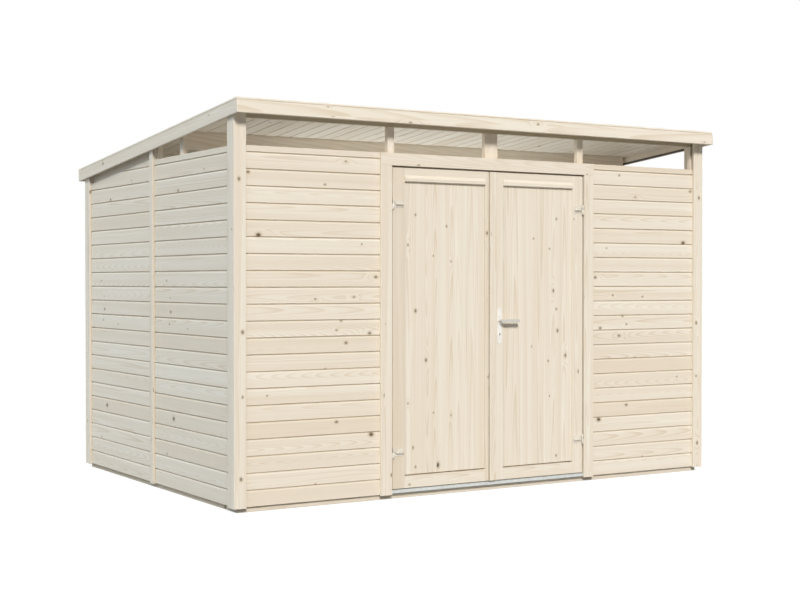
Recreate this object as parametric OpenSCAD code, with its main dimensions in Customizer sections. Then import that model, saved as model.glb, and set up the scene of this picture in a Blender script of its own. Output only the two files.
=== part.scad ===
// Pent-roof garden shed of wall panels: a double door between two front panels, an open
// clerestory strip under the high front eave, and a boarded roof that falls to the back.
// The front faces -Y, +X is to the right, +Z is up and z = 0 is the ground.

/* [Overall] */
// Width over the corner boards
shed_w = 3300; // [2800:10:4200]
// Depth over the corner boards
shed_d = 2280; // [1900:10:2700]
// Height of a wall panel
panel_h = 1905; // [1750:5:2200]
// Height of the panels' lower edge above the ground
panel_lift = 25; // [10:1:32]
// Height of the open strip above the front panels
clerestory_h = 147; // [100:1:250]
// Fall of the roof towards the back, in degrees
roof_pitch = 5; // [3:0.5:6]

/* [Wall timber] */
// Thickness of the wall cladding
clad_t = 16; // [12:1:24]
// Visible width of a tongued board
board_w = 89; // [70:1:130]
// Width of the groove between two boards, at their faces
groove_w = 8; // [4:1:12]
// Depth of the groove between two boards
groove_d = 5; // [2:0.5:6]
// Thickness of the outer trim boards
trim_t = 16; // [12:1:24]
// Depth of a wall stud, from the cladding inwards
stud_t = 28; // [24:1:45]
// Width of a wall stud along the wall
stud_w = 45; // [36:1:60]
// Height of the rails at the foot and the top of a panel
rail_h = 45; // [36:1:60]
// Width of a corner board on the front and back walls
corner_w = 72; // [60:1:90]
// Width of a corner board on the side walls
side_corner_w = 66; // [60:1:90]
// Width of a strip that covers the joint of two panels
cover_w = 49; // [40:1:70]
// Gap between two panels behind a cover strip
joint_gap = 4; // [2:1:8]
// Distance of a raked panel's top edge below the roof boards
rake_gap = 90; // [60:1:110]
// Height of the raked plate above the rear side panels
rake_plate_h = 120; // [115:1:140]

/* [Base and floor] */
// Height of the base bearers and joists
base_h = 33; // [33:1:60]
// Width of a bearer or joist
base_w = 45; // [36:1:70]
// Number of joists from side to side
joist_count = 6; // [4:1:9]
// Thickness of the floor boards
floor_t = 16; // [14:1:18]

/* [Doorway] */
// Clear width between the door casings
door_open_w = 1366; // [1200:2:1600]
// Width of a door casing
casing_w = 72; // [60:1:90]
// Height of the header board over the door
header_h = 70; // [60:1:100]
// Reach of a door stop into the doorway
stop_w = 30; // [20:1:40]
// Thickness of a door stop
stop_t = 17; // [12:1:20]
// Height of the metal threshold
threshold_h = 18; // [16:1:20]
// Distance of the threshold's front edge behind the trim boards' faces
threshold_set = 6; // [0:1:12]
// Width of a post over the sides of the doorway
post_w = 43; // [36:1:60]
// Reach of a side post beyond the casing's edge
post_out = 11; // [0:1:25]
// Width of the post over the middle of the doorway
mid_post_w = 90; // [60:1:120]
// Offset of the middle post to the right of the doorway's centre
mid_post_shift = 12; // [-30:1:30]

/* [Door leaves] */
// Thickness of a leaf
leaf_t = 28; // [24:1:30]
// Distance of the leaf's face behind the trim boards' faces
leaf_set = 10; // [8:1:14]
// Gap between a leaf and the casing beside it
leaf_gap = 8; // [6:1:10]
// Gap between the two leaves
meeting_gap = 6; // [6:0.5:8]
// Offset of the meeting line to the left of the doorway's centre
meeting_shift = 17; // [-30:1:30]
// Gap between a leaf and the threshold
foot_gap = 5; // [5:1:10]
// Gap between a leaf and the header
head_gap = 9; // [6:1:14]
// Width of the stile at the hinges
stile_w = 79; // [60:1:100]
// Width of the left leaf's stile at the meeting line
left_meet_w = 27; // [24:1:60]
// Width of the right leaf's stile at the meeting line
right_meet_w = 96; // [94:1:130]
// Height of a leaf's top rail
top_rail_h = 77; // [60:1:100]
// Height of a leaf's bottom rail
foot_rail_h = 68; // [50:1:100]
// Reach of the top rail's weather moulding in front of the leaf
drip_t = 9; // [8:1:20]
// Height of the moulding's curve
drip_h = 22; // [20:1:44]
// Height of the moulding's nose under the curve
drip_nose = 17; // [8:1:20]
// Size of the bevel under the moulding's nose
drip_lip = 3; // [1:0.5:4]
// Thickness of the boarded panel in a leaf
door_panel_t = 16; // [12:1:18]
// Distance of the boarded panel behind the leaf's face
door_panel_set = 6; // [3:1:8]
// Gap between the bottom rail and the boarded panel's lower end
door_panel_lift = 7; // [4:1:10]
// Height of the bottom rail's lip behind the boarded panel
rail_lip_h = 20; // [12:1:30]
// Width of the cover strip on the right leaf's edge
astragal_w = 42; // [40:1:56]
// Thickness of the cover strip on the right leaf's edge
astragal_t = 10; // [6:1:12]
// Size of the chamfers on the cover strip's front edges
astragal_ease = 2; // [1:0.5:5]

/* [Hinges] */
// Radius of a hinge knuckle
knuckle_r = 5.5; // [4:0.5:5.5]
// Length of the two knuckles of a hinge together
hinge_h = 58; // [50:1:80]
// Radius of the hinge pin
pin_r = 3; // [2:0.5:3]
// Distance of the hinge pin from the casing's edge
pin_in = 11; // [10:1:14]
// Distance of the hinge pin in front of the leaf's face
pin_out = 7; // [7:0.5:8]
// Distance of a hinge from the end of its leaf
hinge_end = 203; // [150:1:300]
// Length of a hinge plate on the leaf
plate_w = 60; // [40:1:70]
// Height of a hinge plate on the leaf
plate_h = 40; // [30:1:50]
// Thickness of the hinge plates
plate_t = 2; // [1.5:0.5:2]
// Radius of the quarter-round rib along a hinge plate
rib_r = 12; // [6:0.5:14]
// Distance of the rib from the ends of its hinge plate
rib_end = 6; // [3:0.5:12]
// Distance of the rib's flat underside below the middle of its hinge plate
rib_drop = 4; // [0:0.5:6]

/* [Lock and lever] */
// Height of the lever above the ground
lever_z = 985; // [900:5:1100]
// Width of a lock plate
lock_w = 32; // [30:1:40]
// Height of a lock plate
lock_h = 208; // [180:1:240]
// Thickness of a lock plate
lock_t = 3; // [2:0.5:4]
// Distance of the lever's axis below the lock plate's upper end
lock_drop = 75; // [60:1:90]
// Distance of the key cylinder below the lever's axis
key_drop = 77; // [70:1:90]
// Length of the lever from its axis to its tip
lever_len = 123; // [100:1:140]
// Radius of the lever's round neck
neck_r = 8; // [6:0.5:9]
// Height of the lever's flat grip
grip_h = 19; // [19:1:24]
// Thickness of the lever's flat grip
grip_t = 9; // [7:0.5:12]
// Distance of the lever's grip, at its middle, from the lock plate
lever_out = 30; // [28:1:50]

/* [Roof] */
// Reach of the roof beyond the front and back corner boards
eaves_over = 75; // [40:1:150]
// Gap between the side trim boards and the verge fascias
verge_gap = 0.5; // [0.5:0.5:40]
// Height of the fascia boards
fascia_h = 69; // [60:1:110]
// Thickness of the fascia boards
fascia_t = 16; // [14:1:24]
// Thickness of the strips on top of the fascia boards
cap_t = 12; // [8:1:18]
// Width of the strips on top of the fascia boards
cap_w = 40; // [30:1:70]
// Thickness of the roof boards
deck_t = 16; // [14:1:22]
// Thickness of the roofing felt
felt_t = 3; // [2:0.5:5]
// Height of the front purlin at its face
front_purlin_h = 51; // [45:1:80]
// Height of the purlins inside the room
purlin_h = 95; // [70:1:100]
// Places of the inner purlins, as shares of the depth
purlin_shares = [0.333, 0.667];
// Places of the joints between the back panels, as shares of the width
back_joint_shares = [-0.1667, 0.1667];

/* [Hidden] */

spruce = "#e9dcc6";
pale_spruce = "#efe4d0";
shaded_spruce = "#cfc3ac";
felt_grey = "#4a4c4e";
metal_grey = "#c9ccd0";

// Curve fineness of the round pieces
$fn = 48;
// Clearance of the hinge pin in its knuckle, and between the two knuckles
pin_clear = 0.1;
// Clearance between the roof boards and the timbers under them
seat_clear = 0.1;
// Gap between the turning lever and its plate
lever_clear = 0.3;
// Overrun of a cut past the face that it opens
cut_over = 1;
// Step along the weather moulding's curve, from its upper end to its nose
curve_step_share = 0.125;

// Wall layers, measured from the middle of the shed
wall_x = shed_w / 2;
wall_y = shed_d / 2;
clad_x = wall_x - trim_t;
clad_y = wall_y - trim_t;
frame_x = clad_x - clad_t;
frame_y = clad_y - clad_t;
room_x = frame_x - stud_t;
room_y = frame_y - stud_t;
side_stud_y = room_y - stud_w;

// Heights of the walls
panel_top = panel_lift + panel_h;
sole_top = base_h + rail_h;
clerestory_top = panel_top + clerestory_h;

// The roof is a flat tray about its own middle, tilted by the pitch
roof_h = fascia_h + cap_t;
roof_len = (shed_d + 2 * eaves_over) / cos(roof_pitch);
roof_x = wall_x + verge_gap + fascia_t;
fascia_top = roof_h / 2 - cap_t;
deck_low = fascia_top - felt_t - deck_t;
roof_mid_z = clerestory_top + front_purlin_h - frame_y * tan(roof_pitch) - deck_low / cos(roof_pitch);
function roof_z(y, w) = roof_mid_z - y * tan(roof_pitch) + w / cos(roof_pitch);
function deck_z(y) = roof_z(y, deck_low) - seat_clear;

// Purlins and the studs under them
function purlin_y(share) = shed_d * share - wall_y;
inner_purlin_ys = [for (share = purlin_shares) purlin_y(share)];
back_purlin_low = deck_z(frame_y) - front_purlin_h;
function inner_purlin_low(y) = deck_z(y + stud_w / 2) - purlin_h;
back_joint_xs = [for (share = back_joint_shares) shed_w * share];

// Doorway and leaves
open_x = door_open_w / 2;
header_low = panel_top - header_h;
threshold_top = base_h + threshold_h;
leaf_low = threshold_top + foot_gap;
leaf_top = header_low - head_gap;
leaf_y = leaf_set - wall_y;
leaf_back = leaf_y + leaf_t;
hinge_edge = open_x - leaf_gap;
left_meet = -meeting_shift - meeting_gap / 2;
right_meet = -meeting_shift + meeting_gap / 2;
panel_low = leaf_low + foot_rail_h;
panel_high = leaf_top - top_rail_h;
door_panel_y = leaf_y + door_panel_set;
door_panel_back = door_panel_y + door_panel_t;

// Hinges and lever
pin_x = open_x - pin_in;
pin_y = leaf_y - pin_out;
hinge_zs = [leaf_low + hinge_end, leaf_top - hinge_end];
plate_in = knuckle_r + plate_t + cut_over;
lever_x = right_meet + astragal_w + (right_meet_w - astragal_w) / 2;
plate_mid_z = lever_z + lock_drop - lock_h / 2;
key_r = lock_w / 4;

// A block between two opposite corners
module block(low, high) {
    translate(low) cube(high - low);
}

// The same piece on the right and on the left
module both_sides() {
    children();
    mirror([1, 0, 0]) children();
}

// A bar along X whose outline is given in Y and Z
module bar_x(x_low, x_high, outline) {
    translate([x_low, 0, 0]) rotate([90, 0, 90]) linear_extrude(x_high - x_low) polygon(outline);
}

// A bar with a flat foot whose top follows the underside of the roof at a drop below it
module raked_bar(x_low, x_high, y_low, y_high, foot_z, drop) {
    bar_x(x_low, x_high, [
        [y_low, foot_z],
        [y_high, foot_z],
        [y_high, deck_z(y_high) - drop],
        [y_low, deck_z(y_low) - drop]
    ]);
}

// Outline across tongued boards that lie side by side, with V grooves in their upper faces
function board_outline(width, thick) = concat(
    [[0, 0], [width, 0], [width, thick]],
    [for (i = [floor((width - groove_w) / board_w) : -1 : 1]) each [
        [i * board_w + groove_w / 2, thick],
        [i * board_w, thick - groove_d],
        [i * board_w - groove_w / 2, thick]
    ]],
    [[0, thick]]
);

// Tongued boards that run along X and lie side by side along Y, with the grooved faces up
module boards(run, width, thick) {
    bar_x(0, run, board_outline(width, thick));
}

// Places a piece in the tilted frame of the roof
module on_roof() {
    translate([0, 0, roof_mid_z]) rotate([-roof_pitch, 0, 0]) children();
}

// Base and floor
module base_bearers() {
    color(shaded_spruce) for (y_low = [-frame_y, frame_y - base_w])
        block([-frame_x, y_low, 0], [frame_x, y_low + base_w, base_h]);
}

module base_joists() {
    span = 2 * frame_x - base_w;
    color(shaded_spruce) for (i = [0 : joist_count - 1]) {
        x_low = -frame_x + span * i / (joist_count - 1);
        block([x_low, base_w - frame_y, 0], [x_low + base_w, frame_y - base_w, base_h]);
    }
}

module floor() {
    color(spruce) translate([-room_x, -room_y, base_h]) boards(2 * room_x, 2 * room_y, floor_t);
}

module threshold() {
    lip_y = threshold_set - wall_y;
    bevel = threshold_h / 2;
    color(metal_grey) bar_x(-open_x, open_x, [
        [lip_y, base_h],
        [-room_y, base_h],
        [-room_y, threshold_top],
        [lip_y + bevel, threshold_top],
        [lip_y, base_h + bevel]
    ]);
}

// Wall cladding: the boards stand on edge, the lowest first, and raked tops cut the upper ones
module front_cladding() {
    color(pale_spruce) both_sides() translate([open_x, -frame_y, panel_lift])
        rotate([90, 0, 0]) boards(clad_x - open_x, panel_h, clad_t);
}

module side_boards(y_low, y_high, height) {
    translate([frame_x, y_low, panel_lift]) rotate([90, 0, 90]) boards(y_high - y_low, height, clad_t);
}

module side_cladding() {
    side_boards(-frame_y, -joint_gap / 2, panel_h);
    intersection() {
        side_boards(joint_gap / 2, frame_y, deck_z(joint_gap / 2) - panel_lift);
        raked_bar(frame_x, clad_x, joint_gap / 2, frame_y, panel_lift, rake_gap);
    }
}

module left_cladding() {
    color(spruce) mirror([1, 0, 0]) side_cladding();
}

module right_cladding() {
    color(spruce) side_cladding();
}

module back_cladding() {
    edges = concat([-clad_x - joint_gap / 2], back_joint_xs, [clad_x + joint_gap / 2]);
    color(spruce) for (i = [0 : len(edges) - 2]) {
        x_low = edges[i] + joint_gap / 2;
        x_high = edges[i + 1] - joint_gap / 2;
        intersection() {
            translate([x_high, frame_y, panel_lift]) rotate([90, 0, 180])
                boards(x_high - x_low, deck_z(frame_y) - panel_lift, clad_t);
            raked_bar(x_low, x_high, frame_y, clad_y, panel_lift, 0);
        }
    }
}

// Wall frames behind the cladding
module front_studs() {
    color(spruce) both_sides()
        block([frame_x - stud_w, -frame_y, base_h], [frame_x, -room_y, clerestory_top]);
}

module back_studs() {
    color(shaded_spruce) {
        both_sides() block([frame_x - stud_w, room_y, base_h], [frame_x, frame_y, back_purlin_low]);
        for (x = back_joint_xs)
            block([x - stud_w, room_y, base_h], [x + stud_w, frame_y, back_purlin_low]);
    }
}

module side_studs() {
    raked_bar(room_x, frame_x, -room_y, -side_stud_y, base_h, 0);
    raked_bar(room_x, frame_x, -stud_w, stud_w, base_h, 0);
    raked_bar(room_x, frame_x, side_stud_y, room_y, base_h, 0);
    for (y = inner_purlin_ys)
        block([room_x, y - stud_w / 2, base_h], [frame_x, y + stud_w / 2, inner_purlin_low(y)]);
}

module left_studs() {
    color(spruce) mirror([1, 0, 0]) side_studs();
}

module right_studs() {
    color(spruce) side_studs();
}

// Bays between the studs of a side wall, from front to back
front_bays = [[-side_stud_y, inner_purlin_ys[0] - stud_w / 2], [inner_purlin_ys[0] + stud_w / 2, -stud_w]];
rear_bays = [[stud_w, inner_purlin_ys[1] - stud_w / 2], [inner_purlin_ys[1] + stud_w / 2, side_stud_y]];
// Bays between the studs of the back wall, from left to right
back_bays = [
    [stud_w - frame_x, back_joint_xs[0] - stud_w],
    [back_joint_xs[0] + stud_w, back_joint_xs[1] - stud_w],
    [back_joint_xs[1] + stud_w, frame_x - stud_w]
];

module sole_plates() {
    color(shaded_spruce) {
        both_sides() {
            block([open_x + stud_w, -frame_y, base_h], [frame_x - stud_w, -room_y, sole_top]);
            for (bay = concat(front_bays, rear_bays))
                block([room_x, bay[0], base_h], [frame_x, bay[1], sole_top]);
        }
        for (bay = back_bays)
            block([bay[0], room_y, base_h], [bay[1], frame_y, sole_top]);
    }
}

module top_plates() {
    rail_low = panel_top - rail_h;
    color(spruce) both_sides() {
        block([open_x + stud_w, -frame_y, rail_low], [frame_x - stud_w, -room_y, panel_top]);
        for (bay = front_bays)
            block([room_x, bay[0], rail_low], [frame_x, bay[1], panel_top]);
        for (bay = rear_bays)
            bar_x(room_x, frame_x, [
                [bay[0], deck_z(bay[0]) - rake_plate_h],
                [bay[1], deck_z(bay[1]) - rake_plate_h],
                [bay[1], deck_z(bay[1])],
                [bay[0], deck_z(bay[0])]
            ]);
    }
}

// Outer trim
module front_corner_boards() {
    color(pale_spruce) both_sides()
        block([wall_x - corner_w, -wall_y, panel_lift], [wall_x, -clad_y, deck_z(-clad_y)]);
}

module back_corner_boards() {
    color(spruce) both_sides()
        block([wall_x - corner_w, clad_y, panel_lift], [wall_x, wall_y, deck_z(wall_y)]);
}

module side_corner_boards() {
    color(spruce) both_sides() {
        raked_bar(clad_x, wall_x, -clad_y, side_corner_w - clad_y, panel_lift, 0);
        raked_bar(clad_x, wall_x, clad_y - side_corner_w, clad_y, panel_lift, 0);
    }
}

module side_cover_strips() {
    color(spruce) both_sides()
        raked_bar(clad_x, wall_x, -cover_w / 2, cover_w / 2, panel_lift, 0);
}

module back_cover_strips() {
    color(spruce) for (x = back_joint_xs)
        block([x - cover_w / 2, clad_y, panel_lift], [x + cover_w / 2, wall_y, deck_z(wall_y)]);
}

// Door frame
module door_casings() {
    color(pale_spruce) both_sides()
        block([open_x, -wall_y, panel_lift], [open_x + casing_w, -clad_y, header_low]);
}

module door_header() {
    color(pale_spruce)
        block([-open_x - casing_w, -wall_y, header_low], [open_x + casing_w, -clad_y, panel_top]);
}

module door_jambs() {
    color(spruce) both_sides()
        block([open_x, -frame_y, base_h], [open_x + stud_w, -room_y, panel_top]);
}

module door_side_stops() {
    color(spruce) both_sides()
        block([open_x - stop_w, -room_y - stop_t, threshold_top], [open_x, -room_y, header_low]);
}

module door_head_rail() {
    color(spruce) block([-open_x, -clad_y, header_low], [open_x, -room_y, panel_top]);
}

module door_head_stop() {
    color(spruce) block([stop_w - open_x, -room_y - stop_t, header_low - stop_w],
        [open_x - stop_w, -room_y, header_low]);
}

// Clerestory posts and roof timbers
module clerestory_posts() {
    side_post_x = open_x + post_out;
    color(pale_spruce) {
        both_sides()
            block([side_post_x - post_w, -frame_y, panel_top], [side_post_x, -room_y, clerestory_top]);
        translate([mid_post_shift, 0, 0])
            block([-mid_post_w / 2, -frame_y, panel_top], [mid_post_w / 2, -room_y, clerestory_top]);
    }
}

module purlins() {
    color(shaded_spruce) {
        raked_bar(-frame_x, frame_x, -frame_y, -room_y, clerestory_top, 0);
        raked_bar(-room_x, room_x, room_y, frame_y, back_purlin_low, 0);
        for (y = inner_purlin_ys)
            raked_bar(-frame_x, frame_x, y - stud_w / 2, y + stud_w / 2, inner_purlin_low(y), 0);
    }
}

// The roof boards run from front to back, with their grooved faces down
module roof_deck() {
    deck_x = roof_x - fascia_t;
    deck_y = roof_len / 2 - fascia_t;
    color(shaded_spruce) on_roof() translate([-deck_x, -deck_y, deck_low + deck_t])
        rotate([180, 0, 90]) boards(2 * deck_y, 2 * deck_x, deck_t);
}

module roof_felt() {
    felt_x = roof_x - fascia_t;
    felt_y = roof_len / 2 - fascia_t;
    color(felt_grey) on_roof()
        block([-felt_x, -felt_y, fascia_top - felt_t], [felt_x, felt_y, fascia_top]);
}

module eaves_fascias() {
    y_out = roof_len / 2;
    color(pale_spruce) on_roof() for (y_low = [-y_out, y_out - fascia_t])
        block([-roof_x, y_low, -roof_h / 2], [roof_x, y_low + fascia_t, fascia_top]);
}

module verge_fascias() {
    y_in = roof_len / 2 - fascia_t;
    color(spruce) on_roof() both_sides()
        block([roof_x - fascia_t, -y_in, -roof_h / 2], [roof_x, y_in, fascia_top]);
}

module eaves_caps() {
    y_out = roof_len / 2;
    color(pale_spruce) on_roof() for (y_low = [-y_out, y_out - cap_w])
        block([-roof_x, y_low, fascia_top], [roof_x, y_low + cap_w, roof_h / 2]);
}

module verge_caps() {
    y_in = roof_len / 2 - cap_w;
    color(spruce) on_roof() both_sides()
        block([roof_x - cap_w, -y_in, fascia_top], [roof_x, y_in, roof_h / 2]);
}

// Hinges: the frame half has a wrapped plate, the lower knuckle and the pin
module frame_hinge() {
    strap_h = hinge_h / 2;
    block([open_x - plate_t, pin_y - plate_t / 2, -strap_h], [open_x, -room_y - stop_t, -pin_clear]);
    block([pin_x, pin_y - plate_t / 2, -strap_h], [open_x, pin_y + plate_t / 2, -pin_clear]);
    translate([pin_x, pin_y, -strap_h]) cylinder(h = strap_h - pin_clear, r = knuckle_r);
    translate([pin_x, pin_y, -strap_h]) cylinder(h = hinge_h - cut_over, r = pin_r);
}

module frame_hinges() {
    color(metal_grey) both_sides() for (z = hinge_zs)
        translate([0, 0, z]) frame_hinge();
}

// The leaf half has a ribbed plate on the leaf's face and the upper knuckle with its bore
module leaf_hinge() {
    difference() {
        union() {
            translate([pin_x, pin_y, 0]) cylinder(h = hinge_h / 2, r = knuckle_r);
            block([pin_x - plate_in, leaf_y - plate_t, 0], [pin_x, leaf_y, plate_h / 2]);
            block([pin_x - plate_in - plate_w, leaf_y - plate_t, -plate_h / 2],
                [pin_x - plate_in, leaf_y, plate_h / 2]);
            translate([pin_x - plate_in - plate_w + rib_end, leaf_y - plate_t, -rib_drop])
                rotate([90, 0, 90]) linear_extrude(plate_w - 2 * rib_end) intersection() {
                    circle(r = rib_r);
                    translate([-2 * rib_r, 0]) square([2 * rib_r + plate_t / 2, 2 * rib_r]);
                }
        }
        translate([pin_x, pin_y, -cut_over])
            cylinder(h = hinge_h, r = pin_r + pin_clear);
    }
}

// Door leaves
module left_door_stiles() {
    color(pale_spruce) {
        block([-hinge_edge, leaf_y, leaf_low], [stile_w - hinge_edge, leaf_back, leaf_top]);
        block([left_meet - left_meet_w, leaf_y, leaf_low], [left_meet, leaf_back, leaf_top]);
    }
}

module right_door_stiles() {
    color(pale_spruce) {
        block([hinge_edge - stile_w, leaf_y, leaf_low], [hinge_edge, leaf_back, leaf_top]);
        block([right_meet, leaf_y, leaf_low], [right_meet + right_meet_w, leaf_back, leaf_top]);
    }
}

// The top rail carries a weather moulding whose face swings out to a nose at its lower edge, and
// the bottom rail has a lip behind the lower end of the boarded panel
module leaf_rails(x_low, x_high) {
    curve_low = panel_high + drip_nose;
    color(pale_spruce) {
        bar_x(x_low, x_high, concat(
            [[leaf_back, panel_high], [leaf_back, leaf_top], [leaf_y, leaf_top]],
            [for (share = [0 : curve_step_share : 1])
                [leaf_y - drip_t * (1 - cos(180 * share)) / 2, curve_low + drip_h * (1 - share)]],
            [
                [leaf_y - drip_t, panel_high + drip_lip],
                [leaf_y - drip_t + drip_lip, panel_high]
            ]
        ));
        bar_x(x_low, x_high, [
            [leaf_y, leaf_low],
            [leaf_back, leaf_low],
            [leaf_back, panel_low + rail_lip_h],
            [door_panel_back, panel_low + rail_lip_h],
            [door_panel_back, panel_low],
            [leaf_y, panel_low]
        ]);
    }
}

module left_door_rails() {
    leaf_rails(stile_w - hinge_edge, left_meet - left_meet_w);
}

module right_door_rails() {
    leaf_rails(right_meet + right_meet_w, hinge_edge - stile_w);
}

module leaf_panel(x_low, x_high) {
    color(pale_spruce) block([x_low, door_panel_y, panel_low + door_panel_lift],
        [x_high, door_panel_back, panel_high]);
}

module left_door_panel() {
    leaf_panel(stile_w - hinge_edge, left_meet - left_meet_w);
}

module right_door_panel() {
    leaf_panel(right_meet + right_meet_w, hinge_edge - stile_w);
}

module left_door_hinges() {
    color(metal_grey) mirror([1, 0, 0]) for (z = hinge_zs)
        translate([0, 0, z]) leaf_hinge();
}

module right_door_hinges() {
    color(metal_grey) for (z = hinge_zs)
        translate([0, 0, z]) leaf_hinge();
}

// The cover strip has two chamfered front edges
module right_door_astragal() {
    color(pale_spruce) translate([right_meet, 0, leaf_low]) linear_extrude(leaf_top - leaf_low) polygon([
        [0, leaf_y],
        [0, leaf_y - astragal_t + astragal_ease],
        [astragal_ease, leaf_y - astragal_t],
        [astragal_w - astragal_ease, leaf_y - astragal_t],
        [astragal_w, leaf_y - astragal_t + astragal_ease],
        [astragal_w, leaf_y]
    ]);
}

// A plate with round ends, lying in X and Z, that is thick towards -Y
module round_plate(width, height, thick) {
    rotate([90, 0, 0]) linear_extrude(thick) {
        square([width, height - width], center = true);
        for (side = [-1, 1])
            translate([0, side * (height - width) / 2]) circle(d = width);
    }
}

module lock_plates() {
    color(metal_grey) {
        translate([lever_x, leaf_y, plate_mid_z]) round_plate(lock_w, lock_h, lock_t);
        translate([lever_x, leaf_back + lock_t, plate_mid_z]) round_plate(lock_w, lock_h, lock_t);
        translate([lever_x, leaf_y - lock_t, lever_z - key_drop])
            rotate([90, 0, 0]) cylinder(h = lock_t, r = key_r);
    }
}

// A round neck that carries a flat grip with round ends, which points to the right
module lever() {
    tip_x = lever_len - grip_h / 2;
    rotate([90, 0, 0]) {
        cylinder(h = lever_out, r = neck_r);
        translate([0, 0, lever_out - grip_t / 2]) linear_extrude(grip_t) {
            translate([0, -grip_h / 2]) square([tip_x, grip_h]);
            for (x = [0, tip_x])
                translate([x, 0]) circle(d = grip_h);
        }
    }
}

module lever_handles() {
    color(metal_grey) {
        translate([lever_x, leaf_y - lock_t - lever_clear, lever_z]) lever();
        translate([lever_x, leaf_back + lock_t + lever_clear, lever_z]) mirror([0, 1, 0]) lever();
    }
}

base_bearers();
base_joists();
floor();
threshold();
front_cladding();
left_cladding();
right_cladding();
back_cladding();
front_studs();
back_studs();
left_studs();
right_studs();
sole_plates();
top_plates();
front_corner_boards();
back_corner_boards();
side_corner_boards();
side_cover_strips();
back_cover_strips();
door_casings();
door_header();
door_jambs();
door_side_stops();
door_head_rail();
door_head_stop();
clerestory_posts();
purlins();
roof_deck();
roof_felt();
eaves_fascias();
verge_fascias();
eaves_caps();
verge_caps();
frame_hinges();
left_door_stiles();
left_door_rails();
left_door_panel();
left_door_hinges();
right_door_stiles();
right_door_rails();
right_door_panel();
right_door_hinges();
right_door_astragal();
lock_plates();
lever_handles();
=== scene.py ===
# Looks of a pent-roof garden shed: tongued spruce boards, planed trim, zinc hinges, a lever lock set
# and roofing felt. Lengths are in metres, the front faces -Y, +X is to the right and +Z is up.
import math
import random

import bmesh
import bpy
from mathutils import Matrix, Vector


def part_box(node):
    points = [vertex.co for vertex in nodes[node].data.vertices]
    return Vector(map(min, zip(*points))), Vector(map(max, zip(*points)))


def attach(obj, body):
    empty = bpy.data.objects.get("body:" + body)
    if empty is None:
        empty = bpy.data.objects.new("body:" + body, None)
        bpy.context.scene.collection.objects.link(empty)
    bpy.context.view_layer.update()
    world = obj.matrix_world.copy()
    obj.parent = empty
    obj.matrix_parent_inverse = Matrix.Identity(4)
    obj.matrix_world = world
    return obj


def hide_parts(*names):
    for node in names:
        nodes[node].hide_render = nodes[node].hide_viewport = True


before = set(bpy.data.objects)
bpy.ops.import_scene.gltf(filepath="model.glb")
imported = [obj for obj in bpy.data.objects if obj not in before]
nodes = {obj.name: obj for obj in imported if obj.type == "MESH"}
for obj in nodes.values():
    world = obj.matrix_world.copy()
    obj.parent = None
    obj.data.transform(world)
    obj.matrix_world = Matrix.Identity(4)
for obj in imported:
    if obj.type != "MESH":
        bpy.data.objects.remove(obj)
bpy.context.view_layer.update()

RIGHT = Vector((1, 0, 0))
BACK = Vector((0, 1, 0))
UP = Vector((0, 0, 1))
ROOF_PITCH = math.radians(5)
ROOF_BACK = Vector((0, math.cos(ROOF_PITCH), -math.sin(ROOF_PITCH)))
ROOF_UP = Vector((0, math.sin(ROOF_PITCH), math.cos(ROOF_PITCH)))

# Tongued boards and glued staves
BOARD_W = 0.089
LIP_H = 0.0036
LIP_D = 0.0075
SLOT = 0.0018
SHOULDER_W = 0.010
SHOULDER_D = 0.0022
SHOULDER_EDGE = 0.0015
FLUSH_LIP_H = 0.0010
FLUSH_SHOULDER_D = 0.001
TONGUE_H = 0.006
TONGUE_FRONT = 0.0080
TONGUE_BACK = 0.0120
TONGUE_PLAY = 0.0004
STAVE_W = 0.0549
STAVE_EASE = 0.0003
FACE_PLAY = 0.0005

# Beads beside the door panels, and packing behind the side trim
BEAD_W = 0.014
BEAD_D = 0.003
PACKING_PLAY = 0.0003

# Eased edges, and what counts as one point
EASED_EDGE = 0.0015
SHARP_EDGE = 0.0004
ROUND_EDGE = 0.003
LEVER_EDGE = 0.0028
PLATE_EDGE = 0.0008
EDGE_STEPS = 2
WELD_GAP = 0.0001
SAME_POINT = 1e-5
LEAST_FACING_SHARE = 0.9

# Roofing felt
FELT_T = 0.003
FELT_THIN = 0.0014
FELT_COURSES = 3
FELT_LIP_T = 0.002
FELT_LIP_H = 0.013
FELT_LIP_RISE = 0.001
FELT_LIP_START = -1.225
FELT_LIP_END = -0.212
FASCIA_T = 0.016

# Threshold
RIB_COUNT = 6
RIB_W = 0.0025
RIB_D = 0.001
FIRST_RIB_SHARE = 1.5

# Hardware, at the places where the solids have it
HINGE_XS = (-0.6335, 0.6335)
HINGE_ZS = (0.259, 1.648)
HINGE_FACE_Y = -1.132
HINGE_SCREW_X = 0.019
HINGE_SCREW_ZS = (-0.0145, 0.0140)
SCREW_R = 0.0034
SCREW_OUT = 0.0009
SCREW_SIDES = 24
SCREW_RINGS = 5
RECESS_REACH_SHARE = 0.7
RECESS_WIDTH_SHARE = 0.17
RECESS_LEVEL_SHARE = 0.25
LOCK_X = 0.055
LOCK_FACE_Y = -1.133
LOCK_BACK_Y = -1.099
LOCK_SCREW_ZS = (0.868, 1.044)
KEY_Z = 0.908
KEY_OUT = 0.0004
KEY_FACE_Y = -1.136
KEY_R = 0.0042
KEY_SLOT_W = 0.0030
KEY_SLOT_L = 0.0085
KEY_STEPS = 28


# Node graphs

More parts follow.
